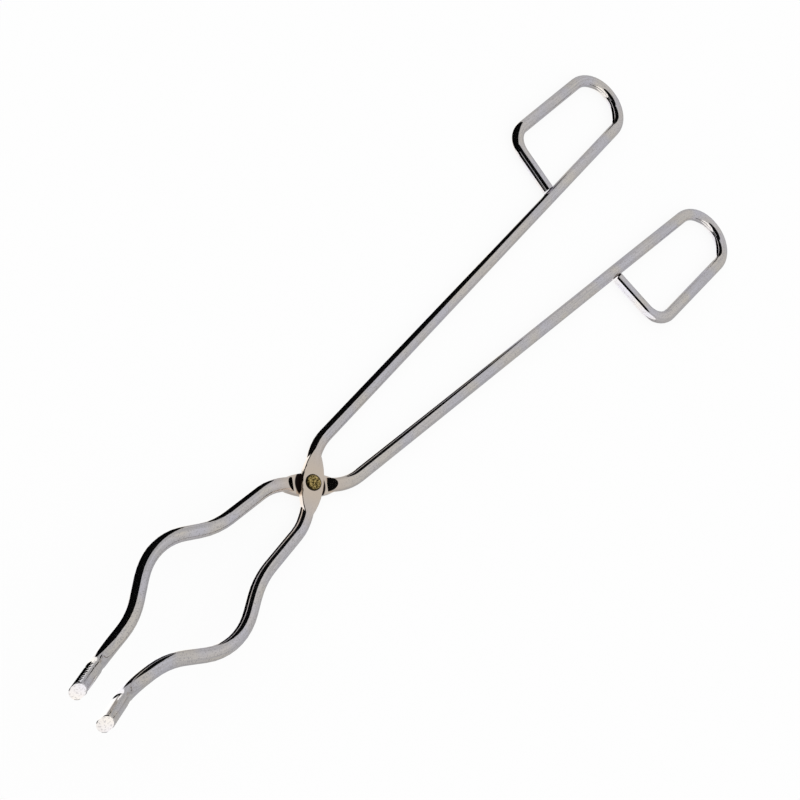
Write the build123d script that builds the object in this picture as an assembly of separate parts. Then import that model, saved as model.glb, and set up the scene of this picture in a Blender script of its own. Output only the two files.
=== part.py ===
from build123d import *
import math
import os

# Crucible tongs: two bent round rods that cross at one rivet, each with a finger loop and a bowed jaw.
# Millimetres. The origin is on the rivet's axis, on the surface that the tongs lie on.
# +X runs to the finger loops and +Z up. The upper arm's handle is on the +Y side, and its jaw on the -Y side.
# Reach is measured along X from the rivet, run along X from the corner before, and spread along Y from the
# middle, all on a rod's centre line. Angles are in degrees.

# Rod and finger loop
ROD_DIAMETER = 5.0
LOOP_REACH = 250.0
LOOP_LENGTH = 64.0
LOOP_WIDTH = 25.0
HANDLE_SPREAD = 24.8
CROSSBAR_LEAN = 2.4
NEAR_CORNER_RADIUS = 9.5
FAR_CORNER_RADIUS = 12.6
SEAM_GAP = 0.25

# Crossing: the rods meet at an angle, each halved on its inner side and pressed to a flat plate on its outer side
CROSSING_HALF_ANGLE = 37.0
CROSSING_BEND_DISTANCE = 14.8
CROSSING_BEND_RADIUS = 22.0
LAP_LENGTH = 13.6
LAP_SHOULDER = 3.1
PRESS_LENGTH = 12.0
PRESS_SHOULDER = 0.5
PLATE_THICKNESS = 2.4
PLATE_LENGTH = 26.5
PLATE_WIDTH = 8.4
PLATE_END_WIDTH = 1.4
PLATE_EDGE_RADIUS = 0.4

# Jaw, bowed in plan and sloping up from the crossing
NECK_RUN = 31.9
NECK_SPREAD = 11.2
NECK_RADIUS = 40.0
BOW_RUN = 24.8
BOW_SPREAD = 22.8
BOW_RADIUS = 28.0
TAPER_RUN = 24.7
TAPER_SPREAD = 8.2
TAPER_RADIUS = 32.0
TURN_UP_RUN = 16.3
TURN_UP_SPREAD = 6.3
TURN_UP_RADIUS = 26.0
TIP_SPREAD = 6.0
JAW_ANGLE = 11.0
TURN_UP_ANGLE = 7.0
TIP_ANGLE = 46.0

# Tip, round past the turn-up, then pressed flat on both sides and notched on its gripping face
TIP_ROUND_LENGTH = 0.9
TIP_BLEND_LENGTH = 3.5
TIP_PRESSED_LENGTH = 21.0
TIP_THICKNESS = 4.2
TIP_HEIGHT = 5.7
TIP_OVAL_WIDTH = 4.8
TOOTH_PITCH = 1.6
TOOTH_DEPTH = 0.5
TOOTH_START = 1.2
TIP_EDGE_CHAMFER = 0.25

# Rivet
SHANK_DIAMETER = 3.6
SHANK_CLEARANCE = 0.05
HEAD_DIAMETER = 6.0
HEAD_HEIGHT = 1.0
TAIL_DIAMETER = 5.6
TAIL_DEPTH = 1.0

# The most that the bends at a straight run's two ends may take of it, and one rounded edge of the plate's end
BENT_SHARE = 0.98
ROUNDED_SHARE = 0.4

ROD_RADIUS = ROD_DIAMETER / 2
PLATE_UNDERSIDE = ROD_RADIUS - PLATE_THICKNESS
TIP_FLAT_LENGTH = TIP_BLEND_LENGTH + TIP_PRESSED_LENGTH
UPPER = 1
LOWER = -1


def corner(reach, spread, side, height=ROD_RADIUS):
    """One corner of an arm's centre line. The jaw is on the other side of the middle than the handle."""
    return Vector(reach, side * spread, height)


def rise(start, run, spread, side, angle):
    """The next corner of a jaw: one run further from the rivet, and up by the slope's angle."""
    end = Vector(start.X - run, -side * spread, start.Z)
    length = (end - start).length
    return end + Vector(0, 0, length * math.tan(math.radians(angle)))


def handle_corners(side):
    """Corners from the crossbar's cut end, round the finger loop, to the bend before the rivet."""
    across = math.sin(math.radians(CROSSING_HALF_ANGLE)) * CROSSING_BEND_DISTANCE
    along = math.cos(math.radians(CROSSING_HALF_ANGLE)) * CROSSING_BEND_DISTANCE
    outer_spread = HANDLE_SPREAD + LOOP_WIDTH
    near_reach = LOOP_REACH - LOOP_LENGTH
    foot_reach = near_reach - CROSSBAR_LEAN
    handle_angle = math.atan2(HANDLE_SPREAD - across, LOOP_REACH - along)
    handle_here = across + (foot_reach - along) * math.tan(handle_angle)
    foot_spread = handle_here + ROD_RADIUS / math.cos(handle_angle) + SEAM_GAP
    return [
        corner(foot_reach, foot_spread, side),
        corner(near_reach, outer_spread, side),
        corner(LOOP_REACH, outer_spread, side),
        corner(LOOP_REACH, HANDLE_SPREAD, side),
        corner(along, across, side),
    ]


def jaw_corners(side):
    """Corners from the bend past the rivet to the jaw's tip."""
    across = math.sin(math.radians(CROSSING_HALF_ANGLE)) * CROSSING_BEND_DISTANCE
    along = math.cos(math.radians(CROSSING_HALF_ANGLE)) * CROSSING_BEND_DISTANCE
    start = corner(-along, -across, side)
    neck = rise(start, NECK_RUN, NECK_SPREAD, side, JAW_ANGLE)
    bow = rise(neck, BOW_RUN, BOW_SPREAD, side, JAW_ANGLE)
    taper = rise(bow, TAPER_RUN, TAPER_SPREAD, side, JAW_ANGLE)
    turn_up = rise(taper, TURN_UP_RUN, TURN_UP_SPREAD, side, TURN_UP_ANGLE)
    bend_length = TURN_UP_RADIUS * math.tan(math.radians(TIP_ANGLE - TURN_UP_ANGLE) / 2)
    tip_length = bend_length + TIP_ROUND_LENGTH + TIP_FLAT_LENGTH
    plan_length = tip_length * math.cos(math.radians(TIP_ANGLE))
    tip_run = math.sqrt(plan_length**2 - (TURN_UP_SPREAD - TIP_SPREAD) ** 2)
    tip = rise(turn_up, tip_run, TIP_SPREAD, side, TIP_ANGLE)
    return [start, neck, bow, taper, turn_up, tip]


def bend_radii(corners, wanted):
    """The wanted radii, less where a straight run has no room for the bends at its two ends."""
    tangents = [0]
    for before, here, after, radius in zip(corners, corners[1:], corners[2:], wanted):
        turn = (here - before).get_angle(after - here)
        tangents.append(radius * math.tan(math.radians(turn) / 2))
    tangents.append(0)
    shares = []
    for start, end, start_tangent, end_tangent in zip(corners, corners[1:], tangents, tangents[1:]):
        room = BENT_SHARE * (end - start).length
        shares.append(min(1, room / (start_tangent + end_tangent)))
    return [radius * min(before, after) for radius, before, after in zip(wanted, shares, shares[1:])]


def tip_plane(side, back):
    """A section plane of the tip, that far back from its end. Its X points away from the other jaw."""
    turn_up, tip = jaw_corners(side)[-2:]
    along = (tip - turn_up).normalized()
    outward = along.cross(Vector(0, 0, 1)).normalized() * side
    return Plane(origin=tip - along * back, x_dir=outward, z_dir=along)


def round_rod(side):
    """The whole bent rod, as far as the tip's blend."""
    corners = handle_corners(side) + jaw_corners(side)
    corners[-1] = tip_plane(side, TIP_FLAT_LENGTH).origin
    wanted = [
        NEAR_CORNER_RADIUS,
        FAR_CORNER_RADIUS,
        FAR_CORNER_RADIUS,
        CROSSING_BEND_RADIUS,
        CROSSING_BEND_RADIUS,
        NECK_RADIUS,
        BOW_RADIUS,
        TAPER_RADIUS,
        TURN_UP_RADIUS,
    ]
    path = FilletPolyline(*corners, radius=bend_radii(corners, wanted))
    return sweep(Plane(origin=path @ 0, z_dir=path % 0) * Circle(ROD_RADIUS), path=path)


def pressed_tip(side):
    """The tip: the rod pressed to an oval with two flats, and teeth cut across the inner flat."""
    blend_start = tip_plane(side, TIP_FLAT_LENGTH)
    blend_end = tip_plane(side, TIP_PRESSED_LENGTH)
    oval = Ellipse(TIP_OVAL_WIDTH / 2, TIP_HEIGHT / 2)
    tip = extrude(blend_end * oval, amount=TIP_PRESSED_LENGTH, dir=blend_end.z_dir)
    tip = chamfer(tip.faces().sort_by(Axis(blend_end.origin, blend_end.z_dir))[-1].edges(), TIP_EDGE_CHAMFER)
    tip += loft([blend_start * Circle(ROD_RADIUS), blend_end * oval])
    flats = blend_start * Pos(0, 0, TIP_FLAT_LENGTH / 2) * Box(TIP_THICKNESS, 2 * TIP_HEIGHT, TIP_FLAT_LENGTH)
    round_part = blend_start * Pos(0, 0, TIP_BLEND_LENGTH / 2) * Box(2 * TIP_HEIGHT, 2 * TIP_HEIGHT, TIP_BLEND_LENGTH)
    tip = (tip & flats) + (tip & round_part)
    count = int((TIP_PRESSED_LENGTH - 2 * TOOTH_START) / TOOTH_PITCH) + 1
    groove = extrude(
        Plane.XZ * Polygon((0, -TOOTH_PITCH / 2), (0, TOOTH_PITCH / 2), (TOOTH_DEPTH, 0), align=None),
        amount=TIP_HEIGHT,
        both=True,
    )
    end_plane = tip_plane(side, 0)
    for tooth in range(count):
        back = TOOTH_START + TOOTH_PITCH * tooth
        tip -= end_plane * Pos(-TIP_THICKNESS / 2, 0, -back) * groove
    return tip


def lap_cutter(length, floor, surface, slope_run):
    """A cutter across the rod: flat on its floor for that length, wider by the run at the rod's surface and past it."""
    half_flat = length / 2
    half_top = half_flat + 2 * slope_run
    top = 2 * surface - floor
    trapezoid = Polygon((-half_flat, floor), (half_flat, floor), (half_top, top), (-half_top, top), align=None)
    return extrude(Plane.XZ * trapezoid, amount=PLATE_WIDTH, both=True)


def plate_blank(layer):
    """The plate: a long eye shape with short ends, rounded round its outer face."""
    half_length = PLATE_LENGTH / 2
    half_end = PLATE_END_WIDTH / 2
    edge = Polyline((-half_length, half_end), (-half_length, -half_end))
    edge += ThreePointArc((-half_length, -half_end), (0, -PLATE_WIDTH / 2), (half_length, -half_end))
    edge += Line((half_length, -half_end), (half_length, half_end))
    edge += ThreePointArc((half_length, half_end), (0, PLATE_WIDTH / 2), (-half_length, half_end))
    plate = extrude(make_face(edge), amount=layer * PLATE_THICKNESS)
    outer_face = plate.faces().sort_by(Axis.Z)[-1 if layer == UPPER else 0]
    return fillet(outer_face.edges(), min(PLATE_EDGE_RADIUS, ROUNDED_SHARE * PLATE_END_WIDTH))


def arm(side, layer):
    """One arm: the rod halved at the crossing, pressed flat outside, and joined to its plate and its tip."""
    lap = lap_cutter(LAP_LENGTH, 0, -layer * ROD_RADIUS, LAP_SHOULDER)
    press = lap_cutter(PRESS_LENGTH, layer * PLATE_THICKNESS, layer * ROD_RADIUS, PRESS_SHOULDER)
    place = Pos(0, 0, ROD_RADIUS) * Rot(0, 0, side * CROSSING_HALF_ANGLE)
    return round_rod(side) - place * lap - place * press + place * plate_blank(layer) + pressed_tip(side)


def upper_arm():
    hole = Pos(0, 0, ROD_RADIUS) * Cylinder(SHANK_DIAMETER / 2 + SHANK_CLEARANCE, 2 * ROD_DIAMETER)
    return arm(UPPER, UPPER) - hole


def tail_cone():
    """The peened tail, which fills the lower plate's countersink and ends flush with it."""
    return Pos(0, 0, PLATE_UNDERSIDE + TAIL_DEPTH / 2) * Cone(TAIL_DIAMETER / 2, SHANK_DIAMETER / 2, TAIL_DEPTH)


def lower_arm():
    hole = Cylinder(SHANK_DIAMETER / 2, 2 * ROD_DIAMETER)
    return arm(LOWER, LOWER) - hole - tail_cone()


def rivet():
    """A brass rivet: a low domed head, a plain shank and a flush tail."""
    dome_radius = ((HEAD_DIAMETER / 2) ** 2 + HEAD_HEIGHT**2) / (2 * HEAD_HEIGHT)
    seat = ROD_RADIUS + PLATE_THICKNESS
    dome = Pos(0, 0, seat + HEAD_HEIGHT - dome_radius) * Sphere(dome_radius)
    head_space = Pos(0, 0, seat + HEAD_HEIGHT / 2) * Cylinder(HEAD_DIAMETER, HEAD_HEIGHT)
    shank = Pos(0, 0, ROD_RADIUS) * Cylinder(SHANK_DIAMETER / 2, 2 * PLATE_THICKNESS)
    return shank + (dome & head_space) + tail_cone()


nodes = {"lower_arm": lower_arm(), "upper_arm": upper_arm(), "rivet": rivet()}
os.makedirs("parts", exist_ok=True)
for name, shape in nodes.items():
    export_step(shape, f"parts/{name}.step")
    print(f"{name}: {shape.volume:.1f} mm3")
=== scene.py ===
import math

import bpy
from mathutils import Matrix, Vector


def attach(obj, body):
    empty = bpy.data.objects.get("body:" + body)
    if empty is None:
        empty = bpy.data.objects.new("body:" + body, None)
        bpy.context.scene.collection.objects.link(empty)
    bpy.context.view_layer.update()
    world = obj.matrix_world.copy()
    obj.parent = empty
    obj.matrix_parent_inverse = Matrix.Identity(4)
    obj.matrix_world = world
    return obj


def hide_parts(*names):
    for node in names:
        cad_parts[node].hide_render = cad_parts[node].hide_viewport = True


# Crucible tongs in bright nickel-plated steel, with one brass rivet. Metres, in the model's own frame.
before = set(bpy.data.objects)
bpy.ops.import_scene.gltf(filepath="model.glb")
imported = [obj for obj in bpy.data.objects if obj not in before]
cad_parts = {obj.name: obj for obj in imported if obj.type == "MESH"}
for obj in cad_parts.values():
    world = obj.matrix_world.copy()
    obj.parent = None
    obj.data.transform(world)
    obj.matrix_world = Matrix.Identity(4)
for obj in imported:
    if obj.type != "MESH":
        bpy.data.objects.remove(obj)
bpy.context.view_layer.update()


# Camera: it looks down at the tongs from beyond the tips, with the handles running up and to the right.
EYE = Vector((-0.3286, 0.0510, 0.4925))
AIM = Vector((0.0542, 0.0005, 0.0025))
ROLL = math.radians(56.947)
SENSOR_MM = 36
LENS_MM = 76.5
NEAREST_SEEN = 0.01

forward = (AIM - EYE).normalized()
level_right = forward.cross(Vector((0, 0, 1))).normalized()
level_up = level_right.cross(forward)
right = math.cos(ROLL) * level_right + math.sin(ROLL) * level_up
up = right.cross(forward)
camera = bpy.data.objects.new("camera", bpy.data.cameras.new("camera"))
bpy.context.scene.collection.objects.link(camera)
camera.data.sensor_width = SENSOR_MM
camera.data.lens = LENS_MM
camera.data.clip_start = NEAREST_SEEN
turn = Matrix((right, up, -forward)).transposed()
camera.matrix_world = Matrix.Translation(EYE) @ turn.to_4x4()
bpy.context.scene.camera = camera


# Room: what the bright plating mirrors, and only mirrored light sees it. It has grey walls, a white table with
# a lit front, a dark place behind the camera and a dark corner. All other light is plain white. Places are an
# azimuth from +X towards +Y and an elevation, and radii are angles, all in degrees.
WALL_TOP = "#CACACB"
WALL_FOOT = "#AEAEB0"
WALL_TOP_ELEVATION = 40
WALL_FOOT_ELEVATION = -60
BLACK = "#080809"
TABLE_WHITE = 1.15
TABLE_EDGE = -42
TABLE_TILT = 22
TABLE_SIDE = 100
FRONT_OF_TABLE, FRONT_RADIUS = (-150, 0), 36
BEHIND_CAMERA, BEHIND_CAMERA_RADIUS = (172, 52), 30
DARK_CORNER, DARK_CORNER_RADIUS = (160, -15), 32
SOFT_EDGE = 1.5


def linear(hex_colour):
    """The linear colour of an sRGB hex value, with full alpha."""
    channels = [int(hex_colour[k : k + 2], 16) / 255 for k in (1, 3, 5)]
    return tuple(c / 12.92 if c <= 0.04045 else ((c + 0.055) / 1.055) ** 2.4 for c in channels) + (1,)


def add_node(tree, kind, inputs, **settings):
    """A new shader node with its settings, and its inputs set to values or linked to nodes' outputs."""
    node = tree.nodes.new("ShaderNode" + kind)
    for name, value in settings.items():
        setattr(node, name, value)
    for name, value in inputs.items():
        if isinstance(value, bpy.types.NodeSocket):
            tree.links.new(value, node.inputs[name])
        else:
            node.inputs[name].default_value = value
    return node


world = bpy.data.worlds.new("studio")
world.use_nodes = True
bpy.context.scene.world = world
tree = world.node_tree
tree.nodes.clear()
looking = add_node(tree, "TexCoord", {}).outputs["Generated"]
axes = add_node(tree, "SeparateXYZ", {0: looking})
across_and_along = {0: axes.outputs["Y"], 1: axes.outputs["X"]}
azimuth = add_node(tree, "Math", across_and_along, operation="ARCTAN2").outputs[0]
elevation = add_node(tree, "Math", {0: axes.outputs["Z"]}, operation="ARCSINE").outputs[0]


def below(angle, limit):
    """1 where the angle is under the limit, in degrees, and 0 over it, with a soft edge between."""
    limits = {
        0: angle,
        "From Min": math.radians(limit - SOFT_EDGE),
        "From Max": math.radians(limit + SOFT_EDGE),
        "To Min": 1.0,
        "To Max": 0.0,
    }
    return add_node(tree, "MapRange", limits, interpolation_type="SMOOTHSTEP").outputs[0]


def spot(centre, radius):
    """1 within that angle of the centre, and 0 outside it."""
    across, height = [math.radians(angle) for angle in centre]
    flat = math.cos(height)
    middle = (flat * math.cos(across), flat * math.sin(across), math.sin(height))
    nearness = add_node(tree, "VectorMath", {0: looking, 1: middle}, operation="DOT_PRODUCT")
    angle = add_node(tree, "Math", {0: nearness.outputs["Value"]}, operation="ARCCOSINE").outputs[0]
    return below(angle, radius)


dark_places = {0: spot(BEHIND_CAMERA, BEHIND_CAMERA_RADIUS), 1: spot(DARK_CORNER, DARK_CORNER_RADIUS)}
dark = add_node(tree, "Math", dark_places, operation="MAXIMUM").outputs[0]
turned = add_node(tree, "Math", {0: azimuth, 1: math.radians(TABLE_SIDE)}, operation="SUBTRACT").outputs[0]
facing = add_node(tree, "Math", {0: turned}, operation="COSINE").outputs[0]
rise = add_node(tree, "Math", {0: facing, 1: math.radians(TABLE_TILT)}, operation="MULTIPLY").outputs[0]
over_rise = add_node(tree, "Math", {0: elevation, 1: rise}, operation="SUBTRACT").outputs[0]
top_and_front = {0: below(over_rise, TABLE_EDGE), 1: spot(FRONT_OF_TABLE, FRONT_RADIUS)}
table = add_node(tree, "Math", top_and_front, operation="MAXIMUM").outputs[0]
from_foot_to_top = {0: elevation, 1: math.radians(WALL_FOOT_ELEVATION), 2: math.radians(WALL_TOP_ELEVATION)}
height = add_node(tree, "MapRange", from_foot_to_top).outputs[0]
foot_and_top = {0: height, 6: linear(WALL_FOOT), 7: linear(WALL_TOP)}
grey = add_node(tree, "Mix", foot_and_top, data_type="RGBA").outputs[2]
walls = add_node(tree, "Mix", {0: dark, 6: grey, 7: linear(BLACK)}, data_type="RGBA").outputs[2]
table_colour = (TABLE_WHITE, TABLE_WHITE, TABLE_WHITE, 1)
room = add_node(tree, "Mix", {0: table, 6: walls, 7: table_colour}, data_type="RGBA").outputs[2]
ray = add_node(tree, "LightPath", {})
mirrored = add_node(tree, "Background", {"Color": room, "Strength": 1.0})
plain = add_node(tree, "Background", {"Color": (1, 1, 1, 1), "Strength": 1.0})
by_ray = {0: ray.outputs["Is Glossy Ray"], 1: plain.outputs[0], 2: mirrored.outputs[0]}
add_node(tree, "OutputWorld", {"Surface": add_node(tree, "MixShader", by_ray).outputs[0]})
bpy.context.scene.view_settings.view_transform = "Standard"


# Floor: a wide sheet of white paper just under the tongs. It glows for the camera, which makes it white, and
# otherwise it is plain paper that takes the tongs' soft shadow. The plating mirrors the room in its place.
FLOOR_SIZE = 6.0
FLOOR_DROP = 0.0002
FLOOR_GLOW = 0.9
PAPER = (0.9, 0.9, 0.9, 1)

bpy.ops.object.select_all(action="DESELECT")
bpy.ops.mesh.primitive_plane_add(size=FLOOR_SIZE, location=(0, 0, -FLOOR_DROP))
floor = bpy.context.object
floor.name = "floor"
floor.visible_glossy = False
material = bpy.data.materials.new("white_sweep")
material.use_nodes = True
tree = material.node_tree
tree.nodes.clear()
ray = add_node(tree, "LightPath", {})
paper = add_node(tree, "BsdfDiffuse", {"Color": PAPER})
glow = add_node(tree, "Emission", {"Color": (1, 1, 1, 1), "Strength": 1.0})
seen_straight = {0: ray.outputs["Is Camera Ray"], 1: ray.outputs["Is Glossy Ray"]}
straight = add_node(tree, "Math", seen_straight, operation="MAXIMUM").outputs[0]
share = add_node(tree, "Math", {0: straight, 1: FLOOR_GLOW}, operation="MULTIPLY").outputs[0]
surface = add_node(tree, "MixShader", {0: share, 1: paper.outputs[0], 2: glow.outputs[0]})
add_node(tree, "OutputMaterial", {"Surface": surface.outputs[0]})
floor.data.materials.append(material)


# Black board: a card that stands close beside the tongs, on their +Y side, and gives the rods their black
# bands. Its lower edge slants. Only mirrored light sees it.
BOARD_CORNERS = [(-0.58, 0.34, -0.40), (0.475, 0.32, -0.56), (-0.58, 0.34, 0.42), (0.475, 0.32, 0.42)]

bpy.ops.object.select_all(action="DESELECT")
bpy.ops.mesh.primitive_plane_add(size=1, location=(0, 0, 0))
board = bpy.context.object
board.name = "black_board"
for vertex, corner in zip(board.data.vertices, BOARD_CORNERS):
    vertex.co = corner
board.visible_camera = False
board.visible_diffuse = False
board.visible_shadow = False
material = bpy.data.materials.new("black_card")
material.use_nodes = True
tree = material.node_tree
tree.nodes.clear()
card = add_node(tree, "Emission", {"Color": linear(BLACK), "Strength": 1.0})
add_node(tree, "OutputMaterial", {"Surface": card.outputs[0]})
board.data.materials.append(material)


# Arms: two rods of mild steel, bent cold, pressed flat at the crossing and the tips, polished and nickel
# plated. The plating is bright, a little warmer or more lilac in places, and beige round the rivet. The drawn
# rod leaves faint streaks along it and small pits. The lap floor round the rivet is painted near black, as
# painted shade of the gap between the lapped plates.
STREAKS_PER_RADIAN = 9.0
STREAK_LENGTH = 0.03
PIT_SIZE = 0.0005
TINT_SIZE = 0.012
LILAC_NICKEL = "#E6E4EC"
WARM_NICKEL = "#F0E9DF"
STREAKED_NICKEL = "#CFCDCE"
PITTED_NICKEL = "#C4C0C0"
BEIGE_NICKEL = "#EFE0D0"
BEIGE_FROM, BEIGE_TO = 0.02, 0.005
# Painted shade: the near-black colour that stands for the shade in the gap where the lapped plates meet.
GAP_SHADE = "#1A1414"
GAP_SHADE_RADIUS, GAP_SHADE_EDGE = 0.0062, 0.0003
LAP_HEIGHT, LAP_TOLERANCE = 0.0025, 0.00015
BUMP_HEIGHT = 0.0001

nickel = bpy.data.materials.new("bright_nickel_plate")
nickel.use_nodes = True
tree = nickel.node_tree
tree.nodes.clear()
place = add_node(tree, "TexCoord", {}).outputs["Object"]
axes = add_node(tree, "SeparateXYZ", {0: place})

# The streaks follow the rod round its bends, because its normal keeps its angle to the vertical along it.
normal = add_node(tree, "SeparateXYZ", {0: add_node(tree, "NewGeometry", {}).outputs["Normal"]})
around = add_node(tree, "Math", {0: normal.outputs["Z"]}, operation="ARCCOSINE").outputs[0]
side = add_node(tree, "Math", {0: normal.outputs["Y"]}, operation="SIGN").outputs[0]
signed = add_node(tree, "Math", {0: around, 1: side}, operation="MULTIPLY").outputs[0]
across = add_node(tree, "Math", {0: signed, 1: STREAKS_PER_RADIAN}, operation="MULTIPLY").outputs[0]
spread = add_node(tree, "VectorMath", {0: place, "Scale": 1 / STREAK_LENGTH}, operation="SCALE").outputs[0]
shift = add_node(tree, "CombineXYZ", {"Z": across}).outputs[0]
along = add_node(tree, "VectorMath", {0: spread, 1: shift}, operation="ADD").outputs[0]
streak_pattern = {"Vector": along, "Scale": 1.0, "Detail": 3.0, "Roughness": 0.6}
streaks = add_node(tree, "TexNoise", streak_pattern).outputs[0]
pits = add_node(tree, "TexNoise", {"Vector": place, "Scale": 1 / PIT_SIZE, "Detail": 2.0}).outputs[0]
tint = add_node(tree, "TexNoise", {"Vector": place, "Scale": 1 / TINT_SIZE, "Detail": 1.0}).outputs[0]

tinted = {
    0: add_node(tree, "MapRange", {0: tint, 1: 0.38, 2: 0.62}).outputs[0],
    6: linear(LILAC_NICKEL),
    7: linear(WARM_NICKEL),
}
streaked = {
    0: add_node(tree, "MapRange", {0: streaks, 1: 0.3, 2: 0.55}).outputs[0],
    6: linear(STREAKED_NICKEL),
    7: add_node(tree, "Mix", tinted, data_type="RGBA").outputs[2],
}
pitted = {
    0: add_node(tree, "MapRange", {0: pits, 1: 0.34, 2: 0.46}).outputs[0],
    6: linear(PITTED_NICKEL),
    7: add_node(tree, "Mix", streaked, data_type="RGBA").outputs[2],
}
flat = add_node(tree, "CombineXYZ", {"X": axes.outputs["X"], "Y": axes.outputs["Y"]}).outputs[0]
radius = add_node(tree, "VectorMath", {0: flat}, operation="LENGTH").outputs["Value"]
warmed = {
    0: add_node(tree, "MapRange", {0: radius, 1: BEIGE_FROM, 2: BEIGE_TO}).outputs[0],
    6: add_node(tree, "Mix", pitted, data_type="RGBA").outputs[2],
    7: linear(BEIGE_NICKEL),
}
# Painted shade: the lap floor of each arm, at the lap height and within a ring round the rivet, is coloured
# near black for the gap beside the other plate.
out_and_in = {0: radius, 1: GAP_SHADE_RADIUS, 2: GAP_SHADE_RADIUS - GAP_SHADE_EDGE}
near_rivet = add_node(tree, "MapRange", out_and_in).outputs[0]
lap_level = {0: axes.outputs["Z"], 1: LAP_HEIGHT, 2: LAP_TOLERANCE}
on_lap = add_node(tree, "Math", lap_level, operation="COMPARE").outputs[0]
gap_shaded = {
    0: add_node(tree, "Math", {0: near_rivet, 1: on_lap}, operation="MULTIPLY").outputs[0],
    6: add_node(tree, "Mix", warmed, data_type="RGBA").outputs[2],
    7: linear(GAP_SHADE),
}
drawn = add_node(tree, "Bump", {"Strength": 0.12, "Distance": BUMP_HEIGHT, "Height": streaks}).outputs[0]
rough = {"Strength": 0.02, "Distance": BUMP_HEIGHT, "Height": pits, "Normal": drawn}
surface = {
    "Base Color": add_node(tree, "Mix", gap_shaded, data_type="RGBA").outputs[2],
    "Metallic": 1.0,
    "Roughness": 0.05,
    "Normal": add_node(tree, "Bump", rough).outputs[0],
}
add_node(tree, "OutputMaterial", {"Surface": add_node(tree, "BsdfPrincipled", surface).outputs[0]})
for name in ("upper_arm", "lower_arm"):
    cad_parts[name].material_slots[0].material = nickel


# Rivet: a brass rivet through both plates, with its low head hammered down on the upper one. The head is
# dented and bright on its high spots, and tarnished in the dents and at the rim. Each row of the profile is a
# height and a radius in millimetres, from the tail to the top of the head.
RIVET_PROFILE = [
    (0.10, 2.80),
    (1.10, 1.80),
    (4.90, 1.80),
    (4.90, 2.84),
    (5.04, 3.00),
    (5.22, 3.00),
    (5.42, 2.82),
    (5.60, 2.45),
    (5.72, 2.00),
    (5.80, 1.50),
    (5.85, 1.00),
    (5.88, 0.50),
]
MM = 0.001
RIVET_SIDES = 48
DENTED_ABOVE = 0.005
DENT_DEPTH = 0.0003
DENT_SIZE = 0.0006
SMOOTHED_UP_TO = math.radians(40)
MARK_SIZE = 0.0007
MARK_HEIGHT = 0.0003
TARNISH = "#3E3212"
BRIGHT_BRASS = "#F0D488"
RIM_TARNISH = "#241C0C"
RIM_FROM, RIM_TO = 0.0022, 0.0028

bpy.ops.object.select_all(action="DESELECT")
tail_height, tail_radius = RIVET_PROFILE[0]
bpy.ops.mesh.primitive_circle_add(
    vertices=RIVET_SIDES, radius=tail_radius * MM, fill_type="NGON", location=(0, 0, 0)
)
rivet = bpy.context.object
rivet.name = "brass_rivet"
bpy.ops.object.mode_set(mode="EDIT")
bpy.ops.mesh.select_all(action="SELECT")
bpy.ops.transform.translate(value=(0, 0, tail_height * MM))
for (height, radius), (next_height, next_radius) in zip(RIVET_PROFILE, RIVET_PROFILE[1:]):
    step = (0, 0, (next_height - height) * MM)
    bpy.ops.mesh.extrude_region_move(TRANSFORM_OT_translate={"value": step})
    wider = next_radius / radius
    bpy.ops.transform.resize(value=(wider, wider, 1), center_override=(0, 0, next_height * MM))
bpy.ops.mesh.select_all(action="SELECT")
bpy.ops.mesh.normals_make_consistent(inside=False)
bpy.ops.object.mode_set(mode="OBJECT")
head = rivet.vertex_groups.new(name="head")
for vertex in rivet.data.vertices:
    if vertex.co.z > DENTED_ABOVE:
        head.add([vertex.index], 1.0, "REPLACE")
finer = rivet.modifiers.new("finer", "SUBSURF")
finer.subdivision_type = "SIMPLE"
finer.levels = 2
finer.render_levels = 2
dents = bpy.data.textures.new("hammer_dents", "CLOUDS")
dents.noise_scale = DENT_SIZE
hammered = rivet.modifiers.new("hammered", "DISPLACE")
hammered.texture = dents
hammered.texture_coords = "LOCAL"
hammered.direction = "Z"
hammered.vertex_group = "head"
hammered.strength = DENT_DEPTH
hammered.mid_level = 0.6
bpy.ops.object.modifier_apply(modifier="finer")
bpy.ops.object.modifier_apply(modifier="hammered")
bpy.ops.object.shade_smooth_by_angle(angle=SMOOTHED_UP_TO)
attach(rivet, "lower_half")
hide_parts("rivet")

brass = bpy.data.materials.new("hammered_tarnished_brass")
brass.use_nodes = True
tree = brass.node_tree
tree.nodes.clear()
place = add_node(tree, "TexCoord", {}).outputs["Object"]
flat = add_node(tree, "VectorMath", {0: place, 1: (1.0, 1.0, 0.0)}, operation="MULTIPLY").outputs[0]
radius = add_node(tree, "VectorMath", {0: flat}, operation="LENGTH").outputs["Value"]
mark_pattern = {"Vector": place, "Scale": 1 / MARK_SIZE, "Detail": 4.0, "Roughness": 0.75}
marks = add_node(tree, "TexNoise", mark_pattern).outputs[0]
worn = {
    0: add_node(tree, "MapRange", {0: marks, 1: 0.45, 2: 0.6}).outputs[0],
    6: linear(TARNISH),
    7: linear(BRIGHT_BRASS),
}
rimmed = {
    0: add_node(tree, "MapRange", {0: radius, 1: RIM_FROM, 2: RIM_TO}).outputs[0],
    6: add_node(tree, "Mix", worn, data_type="RGBA").outputs[2],
    7: linear(RIM_TARNISH),
}
pitted = {"Strength": 0.7, "Distance": MARK_HEIGHT, "Height": marks}
surface = {
    "Base Color": add_node(tree, "Mix", rimmed, data_type="RGBA").outputs[2],
    "Metallic": 1.0,
    "Roughness": 0.22,
    "Normal": add_node(tree, "Bump", pitted).outputs[0],
}
add_node(tree, "OutputMaterial", {"Surface": add_node(tree, "BsdfPrincipled", surface).outputs[0]})
rivet.data.materials.append(brass)
